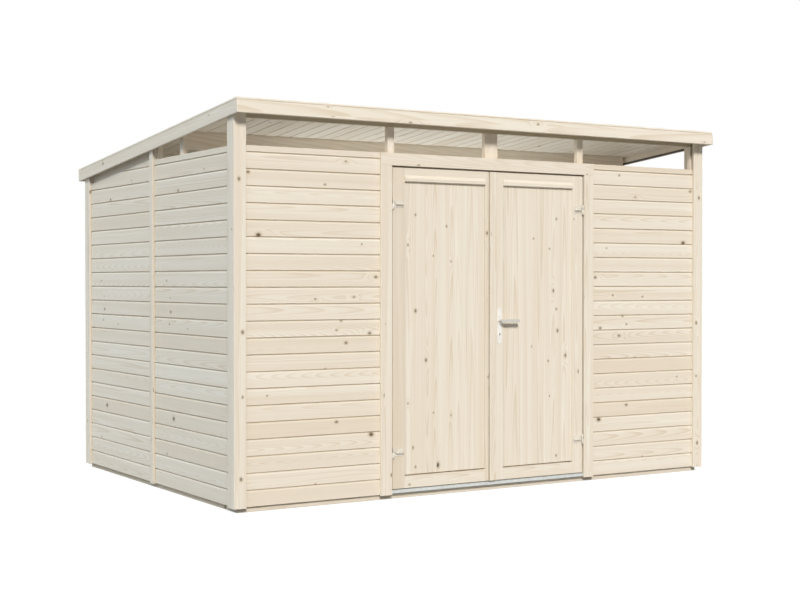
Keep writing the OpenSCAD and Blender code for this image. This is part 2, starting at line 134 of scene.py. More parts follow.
class Graph:
    """Adds nodes to a tree. A value is a socket to link or a constant to set."""

    def __init__(self, tree):
        self.tree = tree

    def node(self, kind, **settings):
        made = self.tree.nodes.new(kind)
        for name, value in settings.items():
            setattr(made, name, value)
        return made

    def feed(self, socket, value):
        if isinstance(value, bpy.types.NodeSocket):
            self.tree.links.new(value, socket)
        elif value is not None:
            socket.default_value = value

    def filled(self, kind, values, **settings):
        """The outputs of a new node that gets values on its first inputs."""
        made = self.node(kind, **settings)
        for socket, value in zip(made.inputs, values):
            self.feed(socket, value)
        return made.outputs

    def math(self, operation, *values):
        return self.filled("ShaderNodeMath", values, operation=operation)[0]

    def times(self, first, *others):
        for other in others:
            first = self.math("MULTIPLY", first, other)
        return first

    def swing(self, value, reach):
        """A value from 0 to 1 as a swing about zero."""
        return self.times(self.math("SUBTRACT", value, 0.5), reach)

    def vector(self, operation, *values):
        return self.filled("ShaderNodeVectorMath", values, operation=operation)[0]

    def length(self, x, y):
        return self.filled("ShaderNodeVectorMath", [self.join(x, y, 0.0)], operation="LENGTH")["Value"]

    def split(self, vector):
        return self.filled("ShaderNodeSeparateXYZ", [vector])[:3]

    def join(self, x, y, z):
        return self.filled("ShaderNodeCombineXYZ", (x, y, z))[0]

    def noise(self, vector, detail, scale=1.0):
        made = self.node("ShaderNodeTexNoise")
        self.feed(made.inputs["Vector"], vector)
        made.inputs["Scale"].default_value = scale
        made.inputs["Detail"].default_value = detail
        return made.outputs["Fac"]

    def white(self, vector):
        """Three random numbers for a place."""
        return self.split(self.filled("ShaderNodeTexWhiteNoise", [vector], noise_dimensions="3D")["Color"])

    def span(self, value, low, high, start=0.0, end=1.0):
        """A smooth step of a value between two levels."""
        return self.filled(
            "ShaderNodeMapRange", (value, low, high, start, end), interpolation_type="SMOOTHSTEP")[0]

    def mix(self, share, first, second, blend="MIX"):
        """A mix of two colours, which are the sockets 6 and 7 of the node, with its result on 2."""
        made = self.node("ShaderNodeMix", data_type="RGBA", blend_type=blend)
        self.feed(made.inputs["Factor"], share)
        self.feed(made.inputs[6], first)
        self.feed(made.inputs[7], second)
        return made.outputs[2]

    def ramp(self, share, stops):
        made = self.node("ShaderNodeValToRGB")
        self.feed(made.inputs[0], share)
        points = made.color_ramp.elements
        for place, _ in stops[2:]:
            points.new(place)
        for point, (place, shade) in zip(points, stops):
            point.position = place
            point.color = shade
        return made.outputs[0]

    def attribute(self, name):
        return self.node("ShaderNodeAttribute", attribute_name=name).outputs

    def surface(self):
        return self.node("ShaderNodeTexCoord").outputs


def colour(red, green, blue):
    """Linear colour of an 8-bit display colour."""
    shares = [value / 255 for value in (red, green, blue)]
    linear = [s / 12.92 if s <= 0.04045 else ((s + 0.055) / 1.055) ** 2.4 for s in shares]
    return (*linear, 1.0)


def grey(value):
    return (value, value, value, 1.0)


# Spruce

EARLY_WOOD = colour(243, 233, 217)
LATE_WOOD = colour(221, 203, 176)
WARM_WOOD = colour(229, 213, 190)
KNOT_RIM = colour(204, 185, 156)
KNOT_CORE = colour(96, 82, 62)

# Tints of the timbers that are darker than the rest: the left leaf's stiles and the base joists are tinted
# all over, the front purlin gets painted shade only in front of a line on Y under the eaves, and the side
# trim gets painted shade only on the faces that look squarely across its grain.
# Painted shade on the narrow faces of the side trim
PAINTED_EDGE_SHADE = (0.74, 0.74, 0.75, 1.0)
# Darker and warmer all over, on the base joists
JOIST_TINT = (0.93, 0.86, 0.79, 1.0)
WARM_STAIN = (0.94, 0.92, 0.895, 1.0)
# Painted shade on the front purlin under the eaves
PAINTED_EAVES_SHADE = (0.64, 0.61, 0.52, 1.0)
PAINTED_EAVES_SHADE_Y = -1.0
PAINTED_EDGE_FACING_SHARES = (0.7, 0.95)

# Painted shade in grooves and inner corners: ambient occlusion darkens the wood where the surface is hollow
PAINTED_CORNER_SHADE = (0.91, 0.91, 0.89, 1.0)
CORNER_REACH = 0.022
CORNER_SAMPLES = 6
CORNER_SHARES = (0.95, 0.6)

# Growth rings and how they sway
RING_W = 0.0042
RING_STOPS = [(0.0, grey(0.0)), (0.5, grey(0.12)), (0.86, grey(1.0)), (0.95, grey(0.8)), (1.0, grey(0.0))]
SLOW_SWAY = 0.05
QUICK_SWAY = 0.006

# Noise in the wood: its steps per metre along and across the grain, and its detail
SLOW_NOISE = (1.2, 2.0, 1.0)
QUICK_NOISE = (7.0, 12.0, 1.0)
BROAD_NOISE = (0.35, 16.0, 2.0)
FINE_NOISE = (0.7, 52.0, 3.0)
FIBRE_NOISE = (22.0, 900.0, 2.0)
SEED_SKEW = 1.7

# How strongly rings, streaks, fibres and knots colour, roughen and raise the wood
BROAD_EDGE_SHARES = (0.3, 0.72)
FINE_EDGE_SHARES = (0.3, 0.75)
RING_DARK_SHARES = (0.46, 0.36)
FINE_DARK_SHARE = 0.27
FIBRE_DARK_SHARE = 0.12
WARMEST_TONE = -1.6
TONE_WARM_SHARE = 0.75
BROAD_WARM_SHARE = 0.30
RIM_TINT_SHARE = 0.75
CORE_TINT_SHARE = 0.95
FIBRE_ROUGH_SHARES = (0.2, 0.48)
CORE_ROUGH_SHARE = -0.1
RING_RISE_SHARE = 0.5
FIBRE_RISE_SHARE = 0.4
FINE_RISE_SHARE = 0.3
GRAIN_RELIEF = 0.0004
GRAIN_RELIEF_SHARE = 0.6
WOOD_GLOSS_SHARE = 0.25

# Knots: their sizes, and how far they reach in shares of their radius
KNOTS = ("knot_a", "knot_b", "knot_c", "knot_d")
NO_KNOT = (9.0, 9.0, 0.0)
SMALLEST_KNOT = 0.001
PALE_KNOT = 0.004
DARK_KNOT = 0.010
PALE_CORE_SHARE = 0.5
FLOW_STRETCH_SHARE = 0.28
FLOW_REACH_SHARE = 2.4
FLOW_LIFT_SHARE = 1.5
KNOT_STRETCH_SHARE = 0.75
CORE_REACH_SHARES = (1.4, 0.5)
RIM_REACH_SHARES = (2.6, 0.9)


def knot_fields(graph, along, across, knot):
    """How far a knot lifts the growth rings, and the shares of its core and of its rim."""
    knot_along, knot_across, radius = graph.split(knot)
    gap_along = graph.math("SUBTRACT", along, knot_along)
    gap_across = graph.math("SUBTRACT", across, knot_across)
    size = graph.math("MAXIMUM", radius, SMALLEST_KNOT)
    present = graph.math("GREATER_THAN", radius, SMALLEST_KNOT)

    def distance(stretch_share):
        return graph.math("DIVIDE", graph.length(graph.times(gap_along, stretch_share), gap_across), size)

    flow = graph.math("DIVIDE", distance(FLOW_STRETCH_SHARE), FLOW_REACH_SHARE)
    bell = graph.math("EXPONENT", graph.times(flow, flow, -1.0))
    lift = graph.times(bell, present, graph.times(size, FLOW_LIFT_SHARE))
    reach = distance(KNOT_STRETCH_SHARE)
    depth = graph.span(size, PALE_KNOT, DARK_KNOT, PALE_CORE_SHARE, 1.0)
    core = graph.times(graph.span(reach, *CORE_REACH_SHARES), present, depth)
    rim = graph.times(graph.span(reach, *RIM_REACH_SHARES), present)
    return lift, core, rim


def spruce_group():
    """Growth rings of a board cut from a log, with fibre streaks and up to four knots."""
    tree = bpy.data.node_groups.new("spruce", "ShaderNodeTree")
    for name, kind in (("grain", "Vector"), ("pith", "Vector"), *((knot, "Vector") for knot in KNOTS),
                       ("tone", "Float"), ("seed", "Float"), ("stained", "Float"), ("stain", "Color")):
        tree.interface.new_socket(name, in_out="INPUT", socket_type="NodeSocket" + kind)
    for name, kind in (("Color", "Color"), ("Roughness", "Float"), ("Height", "Float")):
        tree.interface.new_socket(name, in_out="OUTPUT", socket_type="NodeSocket" + kind)
    graph = Graph(tree)
    given = graph.node("NodeGroupInput").outputs
    along, across, depth = graph.split(given["grain"])
    start = graph.join(given["seed"], graph.times(given["seed"], SEED_SKEW), given["seed"])

    def streaks(per_along, per_across, detail):
        place = graph.vector("MULTIPLY_ADD", given["grain"], (per_along, per_across, per_across), start)
        return graph.noise(place, detail)

    lift, core, rim = knot_fields(graph, along, across, given[KNOTS[0]])
    for name in KNOTS[1:]:
        next_lift, next_core, next_rim = knot_fields(graph, along, across, given[name])
        lift = graph.math("ADD", lift, next_lift)
        core = graph.math("MAXIMUM", core, next_core)
        rim = graph.math("MAXIMUM", rim, next_rim)

    pith_across, pith_depth, pith_slope = graph.split(given["pith"])
    from_pith = graph.math("SUBTRACT", across, pith_across)
    from_pith = graph.math("ADD", from_pith, graph.swing(streaks(*SLOW_NOISE), SLOW_SWAY))
    from_pith = graph.math("ADD", from_pith, graph.swing(streaks(*QUICK_NOISE), QUICK_SWAY))
    into_log = graph.math("ADD", depth, graph.math("MULTIPLY_ADD", pith_slope, along, pith_depth))
    turns = graph.math("DIVIDE", graph.math("ADD", graph.length(from_pith, into_log), lift), RING_W)
    ring = graph.ramp(graph.math("FRACT", turns), RING_STOPS)

    broad = graph.span(streaks(*BROAD_NOISE), *BROAD_EDGE_SHARES)
    fine = graph.span(streaks(*FINE_NOISE), *FINE_EDGE_SHARES)
    fibre = streaks(*FIBRE_NOISE)
    dark = graph.times(ring, graph.math("MULTIPLY_ADD", broad, *RING_DARK_SHARES))
    dark = graph.math("MULTIPLY_ADD", fine, FINE_DARK_SHARE, dark)
    dark = graph.math("ADD", graph.swing(fibre, FIBRE_DARK_SHARE), dark)
    wood = graph.mix(dark, EARLY_WOOD, LATE_WOOD)
    wood = graph.mix(graph.span(given["tone"], 0.0, WARMEST_TONE, 0.0, TONE_WARM_SHARE), wood, WARM_WOOD)
    wood = graph.mix(graph.times(broad, BROAD_WARM_SHARE), wood, WARM_WOOD)
    wood = graph.mix(graph.times(rim, RIM_TINT_SHARE), wood, KNOT_RIM)
    wood = graph.mix(graph.times(core, CORE_TINT_SHARE), wood, KNOT_CORE)
    # Real stains, and painted shade on some timbers, multiply the colour
    wood = graph.mix(given["stained"], wood, given["stain"], "MULTIPLY")

    given_back = graph.node("NodeGroupOutput").inputs
    graph.feed(given_back["Color"], wood)
    rough = graph.math("MULTIPLY_ADD", fibre, *FIBRE_ROUGH_SHARES)
    graph.feed(given_back["Roughness"], graph.math("MULTIPLY_ADD", core, CORE_ROUGH_SHARE, rough))
    height = graph.math("MULTIPLY_ADD", ring, RING_RISE_SHARE, graph.times(fibre, FIBRE_RISE_SHARE))
    graph.feed(given_back["Height"], graph.math("MULTIPLY_ADD", fine, FINE_RISE_SHARE, height))
    return tree


SPRUCE = spruce_group()


def new_material(name):
    material = bpy.data.materials.new(name)
    material.use_nodes = True
    graph = Graph(material.node_tree)
    shader = material.node_tree.nodes["Principled BSDF"]
    return material, graph, shader


def relief(graph, shader, height, distance, share):
    bump = graph.node("ShaderNodeBump")
    bump.inputs["Strength"].default_value = share
    bump.inputs["Distance"].default_value = distance
    graph.feed(bump.inputs["Height"], height)
    graph.feed(shader.inputs["Normal"], bump.outputs["Normal"])


def spruce_shader(graph, shader, **inputs):
    """Spruce on a shader, with painted shade where the surface is hollow."""
    wood = graph.node("ShaderNodeGroup")
    wood.node_tree = SPRUCE
    for name in KNOTS:
        wood.inputs[name].default_value = NO_KNOT
    for name, value in inputs.items():
        graph.feed(wood.inputs[name], value)
    # Painted shade: ambient occlusion darkens grooves and inner corners
    corner = graph.node("ShaderNodeAmbientOcclusion", samples=CORNER_SAMPLES)
    corner.inputs["Distance"].default_value = CORNER_REACH
    painted_shade_share = graph.span(corner.outputs["AO"], *CORNER_SHARES)
    graph.feed(shader.inputs["Base Color"], graph.mix(painted_shade_share, wood.outputs["Color"], PAINTED_CORNER_SHADE, "MULTIPLY"))
    graph.feed(shader.inputs["Roughness"], wood.outputs["Roughness"])
    shader.inputs["Specular IOR Level"].default_value = WOOD_GLOSS_SHARE
    relief(graph, shader, wood.outputs["Height"], GRAIN_RELIEF, GRAIN_RELIEF_SHARE)


def board_spruce():
    """Spruce whose grain follows the boards' own attributes."""
    material, graph, shader = new_material("spruce_boards")
    spruce_shader(
        graph, shader,
        **{name: graph.attribute(name)["Vector"] for name in ("grain", "pith", *KNOTS)},
        **{name: graph.attribute(name)["Fac"] for name in ("tone", "seed")})
    return material


# Random grain of the planed timbers, with one knot at most in each stretch
TIMBER_SEEDS = 500.0
TIMBER_PITH_ASIDE = 0.06
TIMBER_PITH_DEEPER = 0.05
TIMBER_PITH_LEAST = 0.02
TIMBER_SLOPE_SHARE = 0.05
TIMBER_TONES = (1.2, -0.7)
KNOT_STEP = 0.42
KNOT_STEP_SHARES = (0.6, 0.2)
KNOT_MOST = 0.016


def stretch_knot(graph, along, seed, width):
    """The knot of a stretch of timber, at a random place. About half of them are too small to show."""
    cell = graph.math("FLOOR", graph.math("DIVIDE", along, KNOT_STEP))
    where, aside, size = graph.white(graph.join(cell, seed, 1.0))
    in_cell = graph.math("ADD", cell, graph.math("MULTIPLY_ADD", where, *KNOT_STEP_SHARES))
    return graph.join(
        graph.times(in_cell, KNOT_STEP), graph.swing(aside, width), graph.swing(size, KNOT_MOST))


def timber_spruce(name, axes, centre, width, tilted, placed, stain):
    """Spruce for planed timbers: axes names the directions along, across and through them."""
    material, graph, shader = new_material(name)
    surface = graph.surface()
    place = surface["Object"]
    if tilted:
        turned = graph.node("ShaderNodeMapping")
        turned.inputs["Rotation"].default_value = (ROOF_PITCH, 0, 0)
        graph.feed(turned.inputs["Vector"], place)
        place = turned.outputs["Vector"]
    places = dict(zip("XYZ", graph.split(place)))
    island = graph.node("ShaderNodeNewGeometry").outputs["Random Per Island"]
    seed = graph.times(island, TIMBER_SEEDS)
    first, second, third = graph.white(graph.join(seed, 0.0, 0.0))

    def from_middle(axis, middle):
        """Places from a timber's middle: left and right, and front and back, are mirror images."""
        folded = graph.math("ABSOLUTE", places[axis]) if axis in "XY" else places[axis]
        return graph.math("SUBTRACT", folded, middle)

    along = places[axes[0]]
    across, through = (from_middle(axis, middle) for axis, middle in zip(axes[1:], centre))
    pith = graph.join(
        graph.swing(first, TIMBER_PITH_ASIDE),
        graph.math("MULTIPLY_ADD", second, TIMBER_PITH_DEEPER, TIMBER_PITH_LEAST),
        graph.swing(third, TIMBER_SLOPE_SHARE))
    if placed:
        knots = [(knot_along, knot_across - centre[0], radius) for knot_along, knot_across, radius in placed]
    else:
        knots = [stretch_knot(graph, along, seed, width)]
    stained = 0.0
    if stain == PAINTED_EDGE_SHADE:
        # Painted shade on the narrow faces that look squarely across the grain
        facing = dict(zip("XYZ", graph.split(surface["Normal"])))[axes[1]]
        stained = graph.span(graph.math("ABSOLUTE", facing), *PAINTED_EDGE_FACING_SHARES)
    elif stain == PAINTED_EAVES_SHADE:
        # Painted shade on what lies in front of the line under the eaves
        stained = graph.math("LESS_THAN", places["Y"], PAINTED_EAVES_SHADE_Y)
    elif stain:
        stained = 1.0
    spruce_shader(
        graph, shader,
        grain=graph.join(along, across, through), pith=pith,
        tone=graph.math("MULTIPLY_ADD", third, *TIMBER_TONES), seed=seed,
        stained=stained, stain=stain, **dict(zip(KNOTS, knots)))
    return material


# Metals and felt

DRAWN_DETAIL = 2.0
DRAWN_ROUGH_SHARE = 0.22
DRAWN_RELIEF = 0.0001
DRAWN_RELIEF_SHARE = 0.25
CLOUD_STEPS = 60.0
CLOUD_EDGE_SHARES = (0.35, 0.7)
DULL_SHARE = 0.86


def metal(name, shade, rough, lines, metallic):
    """Metal with a drawn surface: lines are the noise steps per metre along X, Y and Z."""
    material, graph, shader = new_material(name)
    place = graph.surface()["Object"]
    drawn = graph.noise(graph.vector("MULTIPLY", place, lines), DRAWN_DETAIL)
    clouds = graph.noise(place, DRAWN_DETAIL, CLOUD_STEPS)
    dull = (*(DULL_SHARE * part for part in shade[:3]), 1.0)
    graph.feed(shader.inputs["Base Color"], graph.mix(graph.span(clouds, *CLOUD_EDGE_SHARES), shade, dull))
    graph.feed(shader.inputs["Roughness"], graph.math("MULTIPLY_ADD", drawn, DRAWN_ROUGH_SHARE, rough))
    shader.inputs["Metallic"].default_value = metallic
    relief(graph, shader, drawn, DRAWN_RELIEF, DRAWN_RELIEF_SHARE)
    return material


DARK_STONE = colour(66, 63, 59)
PALE_STONE = colour(136, 132, 126)
WORN_FELT = colour(92, 89, 84)
STONE_STEPS = 420.0
STONE_RELIEF = 0.0012
STONE_RELIEF_SHARE = 0.7
PATCH_STEPS = 5.0
PATCH_DETAIL = 3.0
PATCH_EDGE_SHARES = (0.35, 0.7)
FELT_ROUGH_SHARE = 0.93
FELT_GLOSS_SHARE = 0.2


def felt_material():
    """Crushed stone on bitumen, with worn patches."""
    material, graph, shader = new_material("mineral_felt")
    place = graph.surface()["Object"]
    grains = graph.node("ShaderNodeTexVoronoi", feature="F1")
    grains.inputs["Scale"].default_value = STONE_STEPS
    graph.feed(grains.inputs["Vector"], place)
    speck = graph.split(grains.outputs["Color"])[0]
    stone = graph.mix(speck, DARK_STONE, PALE_STONE)
    patches = graph.span(graph.noise(place, PATCH_DETAIL, PATCH_STEPS), *PATCH_EDGE_SHARES)
    graph.feed(shader.inputs["Base Color"], graph.mix(patches, stone, WORN_FELT))
    shader.inputs["Roughness"].default_value = FELT_ROUGH_SHARE
    shader.inputs["Specular IOR Level"].default_value = FELT_GLOSS_SHARE
    height = graph.math("SUBTRACT", 1.0, grains.outputs["Distance"])
    relief(graph, shader, height, STONE_RELIEF, STONE_RELIEF_SHARE)
    return material


# Meshes

def islands(node):
    """The corner points of each solid of a node, in a fixed order."""
    mesh = nodes[node].data
    keys = [tuple(round(part / SAME_POINT) for part in vertex.co) for vertex in mesh.vertices]
    parent = {key: key for key in keys}

    def root(key):
        while parent[key] != key:
            parent[key] = parent[parent[key]]
            key = parent[key]
        return key

    for face in mesh.polygons:
        corners = [keys[i] for i in face.vertices]
        for corner in corners[1:]:
            parent[root(corner)] = root(corners[0])
    groups = {}
    for key, vertex in zip(keys, mesh.vertices):
        groups.setdefault(root(key), []).append(vertex.co.copy())
    return sorted(groups.values(), key=lambda points: sum(p.x + 2 * p.y for p in points) / len(points))


def span_of(points, way):
    """The least and the greatest place of some points along a direction."""
    places = [point.dot(way) for point in points]
    return min(places), max(places)


def upper_end(node, solid, stack):
    """The highest point of a solid along a direction, and the way that its end faces there."""
    peak = max(solid, key=lambda point: point.dot(stack))
    mesh = nodes[node].data
    for face in mesh.polygons:
        corners = [mesh.vertices[i].co for i in face.vertices]
        touches = any((corner - peak).length < SAME_POINT for corner in corners)
        if touches and face.normal.dot(stack) > LEAST_FACING_SHARE:
            return peak, face.normal.copy()


def tongued_profile(thick, lip_h=LIP_H, shoulder_d=SHOULDER_D):
    """Outline across a tongued board: distance up the board, and depth behind its face."""
    return [
        (SLOT + lip_h, 0.0),
        (BOARD_W - SHOULDER_W, 0.0),
        (BOARD_W - SHOULDER_EDGE, shoulder_d),
        (BOARD_W, LIP_D),
        (BOARD_W + TONGUE_H, TONGUE_FRONT),
        (BOARD_W + TONGUE_H, TONGUE_BACK),
        (BOARD_W, TONGUE_BACK),
        (BOARD_W, thick),
        (SLOT, thick),
        (SLOT, TONGUE_BACK + TONGUE_PLAY),
        (SLOT + TONGUE_H + TONGUE_PLAY, TONGUE_BACK + TONGUE_PLAY),
        (SLOT + TONGUE_H + TONGUE_PLAY, TONGUE_FRONT - TONGUE_PLAY),
        (SLOT, LIP_D),
    ]


def flush_profile(thick):
    """Outline across a tongued board with hardly any lip, as on the floor and the roof."""
    return tongued_profile(thick, FLUSH_LIP_H, FLUSH_SHOULDER_D)


def stave_profile(thick):
    """Outline across a glued stave with barely eased edges."""
    return [
        (STAVE_EASE, 0.0), (STAVE_W - STAVE_EASE, 0.0), (STAVE_W, STAVE_EASE),
        (STAVE_W, thick), (0.0, thick), (0.0, STAVE_EASE),
    ]


def prism(outline, place, start, end):
    """A bar as a bmesh: outline points go through place(run, *point)."""
    bar = bmesh.new()
    ends = [[bar.verts.new(place(run, *point)) for point in outline] for run in (start, end)]
    count = len(outline)
    for i in range(count):
        j = (i + 1) % count
        bar.faces.new((ends[0][i], ends[0][j], ends[1][j], ends[1][i]))
    bar.faces.new(ends[0][::-1])
    bar.faces.new(ends[1])
    bmesh.ops.recalc_face_normals(bar, faces=bar.faces[:])
    return bar


def along_x(run, back, up):
    """Places of a bar that runs to the right."""
    return Vector((run, back, up))


def cut(bar, point, normal):
    """Cuts away what lies on the normal's side, and closes the cut."""
    everything = bar.verts[:] + bar.edges[:] + bar.faces[:]
    bmesh.ops.bisect_plane(
        bar, geom=everything, dist=SAME_POINT, plane_co=point, plane_no=normal, clear_outer=True)
    rims = [edge for edge in bar.edges if edge.is_boundary]
    if rims:
        bmesh.ops.edgeloop_fill(bar, edges=rims)


def link(name, mesh, material):
    """Puts a mesh with its material into the scene."""
    mesh.materials.append(material)
    piece = bpy.data.objects.new(name, mesh)
    bpy.context.scene.collection.objects.link(piece)
    return piece


CLEAR_PITH = (0.03, 0.06, 0.005)


class BoardMesh:
    """Collects boards with their grain attributes into one mesh."""

    VECTORS = ("grain", "pith", *KNOTS)
    NUMBERS = ("tone", "seed")

    def __init__(self):
        self.points = []
        self.faces = []
        self.values = {name: [] for name in self.VECTORS + self.NUMBERS}

    def add(self, bar, grain, **values):
        first = len(self.points)
        bar.verts.index_update()
        for vertex in bar.verts:
            self.points.append(vertex.co.copy())
            self.values["grain"].append(grain(vertex.co))
            for name, value in values.items():
                self.values[name].append(value)
        self.faces += [[first + vertex.index for vertex in face.verts] for face in bar.faces]
        bar.free()

    def add_clear(self, bar, grain, seed):
        """Adds a bar that has no knots."""
        self.add(bar, grain, pith=CLEAR_PITH, tone=0.0, seed=seed, **dict.fromkeys(KNOTS, NO_KNOT))

    def make(self, name, material):
        mesh = bpy.data.meshes.new(name)
        mesh.from_pydata(self.points, [], self.faces)
        for attribute in self.VECTORS:
            layer = mesh.attributes.new(attribute, "FLOAT_VECTOR", "POINT")
            layer.data.foreach_set("vector", [part for value in self.values[attribute] for part in value])
        for attribute in self.NUMBERS:
            layer = mesh.attributes.new(attribute, "FLOAT", "POINT")
            layer.data.foreach_set("value", self.values[attribute])
        return link(name, mesh, material)


def piece_of(name, bars, material):
    """One mesh piece made of several bmesh bars."""
    mesh = bpy.data.meshes.new(name)
    whole = bmesh.new()
    for bar in bars:
        part = bpy.data.meshes.new(name + "_part")
        bar.to_mesh(part)
        bar.free()
        whole.from_mesh(part)
        bpy.data.meshes.remove(part)
    whole.to_mesh(mesh)
    whole.free()
    return link(name, mesh, material)


def dress(node, material, eased):
    """Gives a frame node a material and eased edges."""
    piece = nodes[node]
    piece.data.materials.clear()
    piece.data.materials.append(material)
    weld = piece.modifiers.new("weld", "WELD")
    weld.merge_threshold = WELD_GAP
    ease = piece.modifiers.new("eased_edges", "BEVEL")
    ease.width = eased
    ease.segments = EDGE_STEPS
    ease.limit_method = "ANGLE"
    ease.harden_normals = True


# Knots that stand out: for each radius their places along the shed and their heights. The front's are
# mirrored about the middle of the shed, and the sides' stand on the front panel and again on the rear one.
BIG = 0.0100
MEDIUM = 0.0068
SMALL = 0.0048
TINY = 0.0038
FRONT_KNOTS = {
    BIG: [(0.81, 0.37), (1.50, 1.46)],
    MEDIUM: [(1.03, 0.45), (0.82, 0.93), (0.97, 0.88), (0.78, 1.24), (1.56, 1.79)],
    SMALL: [(0.97, 1.87), (1.00, 1.00), (0.92, 1.13), (1.16, 1.12), (1.03, 0.95), (1.10, 0.74),
            (1.10, 1.74)],
    TINY: [(1.45, 0.61), (1.16, 0.12), (0.87, 1.42)],
}
SIDE_KNOTS = {
    BIG: [(-0.30, 0.43)],
    MEDIUM: [(-0.26, 1.04), (-0.37, 1.73)],
    SMALL: [(-0.24, 0.97), (-0.20, 0.22), (-0.20, 1.22)],
    TINY: [(-0.25, 1.12), (-0.50, 0.95), (-0.73, 1.83)],
}
SIDE_PANEL_STEP = 1.08
LEFT_DOOR_KNOTS = {
    BIG: [(-0.37, 0.17)],
    MEDIUM: [(-0.54, 0.28), (-0.45, 0.77), (-0.52, 1.05)],
    SMALL: [(-0.52, 0.17), (-0.52, 1.59), (-0.52, 0.71), (-0.57, 1.42), (-0.31, 1.53)],
    TINY: [(-0.57, 0.53), (-0.40, 0.47), (-0.40, 1.36), (-0.28, 0.45), (-0.28, 1.33)],
}
RIGHT_DOOR_KNOTS = {
    MEDIUM: [(0.46, 1.16), (0.55, 0.77), (0.49, 0.92)],
    SMALL: [(0.48, 0.17), (0.48, 1.05), (0.48, 1.59), (0.30, 0.83), (0.42, 0.74)],
    TINY: [(0.43, 0.53), (0.43, 1.41), (0.31, 1.47), (0.48, 0.71)],
}
CORNER_KNOTS = {
    MEDIUM: [(1.61, 0.18), (1.60, 0.95), (1.62, 1.75)],
    SMALL: [(1.60, 0.61)],
}


def each_knot(table):
    """The knots of a table, each with its place along the shed, its height and its radius."""
    return [(along, up, radius) for radius, places in table.items() for along, up in places]


# Knots by node, each with its places along and across the boards and its radius
PLACED_KNOTS = {
    "front_cladding": [(side * x, z, radius) for side in (-1, 1) for x, z, radius in each_knot(FRONT_KNOTS)],
    "left_door_panel": [(z, x, radius) for x, z, radius in each_knot(LEFT_DOOR_KNOTS)],
    "right_door_panel": [(z, x, radius) for x, z, radius in each_knot(RIGHT_DOOR_KNOTS)],
    "front_corner_boards": [(z, x, radius) for x, z, radius in each_knot(CORNER_KNOTS)],
}
for side_node in ("left_cladding", "right_cladding"):
    PLACED_KNOTS[side_node] = [
        (y + shift, z, radius) for shift in (0, SIDE_PANEL_STEP) for y, z, radius in each_knot(SIDE_KNOTS)]

# Random knots of the other boards
KNOT_TRIES = 2
KNOT_CHANCE_SHARE = 0.65
KNOT_ALONG_SHARES = (0.05, 0.95)
KNOT_ACROSS_SHARES = (-0.42, 0.42)
LEAST_KNOT = 0.003
LARGEST_KNOT = 0.009


def random_knots(chance, length, width):
    """Knots at random places of a board, any of which may be missing."""
    knots = [(
        chance.uniform(*KNOT_ALONG_SHARES) * length,
        chance.uniform(*KNOT_ACROSS_SHARES) * width,
        chance.triangular(LEAST_KNOT, LARGEST_KNOT, LEAST_KNOT),
    ) for _ in range(KNOT_TRIES)]
    return [knot if chance.random() < KNOT_CHANCE_SHARE else NO_KNOT for knot in knots]


def board_knots(node, run_0, run_1, low, width, chance):
    """The knots of one board, in the board's own measures."""
    if node not in PLACED_KNOTS:
        found = random_knots(chance, run_1 - run_0, width)
    else:
        found = [
            (along - run_0, across - low - width / 2, radius) for along, across, radius in PLACED_KNOTS[node]
            if run_0 <= along <= run_1 and low <= across < low + width]
    found = (found + [NO_KNOT] * len(KNOTS))[:len(KNOTS)]
    return dict(zip(KNOTS, found))


# Kinds of boards: their profile and width, the spread of their tones and the slope of their pith
TONGUED = (tongued_profile, BOARD_W, 0.7, 0.03)
FLUSH = (flush_profile, BOARD_W, 0.7, 0.03)
STAVES = (stave_profile, STAVE_W, 0.3, 0.012)
BOARD_SEEDS = 400.0
BOARD_PITH_ASIDE = 0.03
BOARD_PITH_DEPTHS = (0.015, 0.09)


def lay_boards(node, run, stack, inward, kind, seed):
    """Boards in place of each solid of a node: run is along them, stack from one to the next."""
    profile, width, tone_spread, pith_slope = kind
    chance = random.Random(seed)
    boards = BoardMesh()
    for solid in islands(node):
        run_0, run_1 = span_of(solid, run)
        stack_0 = span_of(solid, stack)[0]
        depth_0, depth_1 = span_of(solid, inward)
        top_point, top_normal = upper_end(node, solid, stack)
        foot_point = stack * stack_0
        for i in range(math.ceil((top_point.dot(stack) - stack_0) / width - SAME_POINT)):
            low = stack_0 + i * width
            back_set = chance.uniform(0.0, FACE_PLAY)

            def place(along, up, depth):
                level = depth_0 + (depth if depth > LIP_D else depth + back_set)
                return run * along + stack * (low + up) + inward * level

            bar = prism(profile(depth_1 - depth_0), place, run_0, run_1)
            cut(bar, foot_point, -stack)
            cut(bar, top_point, top_normal)
            if not bar.verts:
                bar.free()
                continue
            middle = low + width / 2

            def grain(point):
                return (point.dot(run) - run_0, point.dot(stack) - middle, point.dot(inward) - depth_0)

            pith_aside = chance.gauss(0.0, BOARD_PITH_ASIDE)
            pith_depth = chance.uniform(*BOARD_PITH_DEPTHS)
            boards.add(
                bar, grain,
                pith=(pith_aside, pith_depth, chance.gauss(0.0, pith_slope)),
                tone=chance.gauss(0.0, tone_spread),
                seed=chance.uniform(0.0, BOARD_SEEDS),
                **board_knots(node, run_0, run_1, low, width, chance))
    return boards


# Boards of the walls, the floor, the roof and the doors

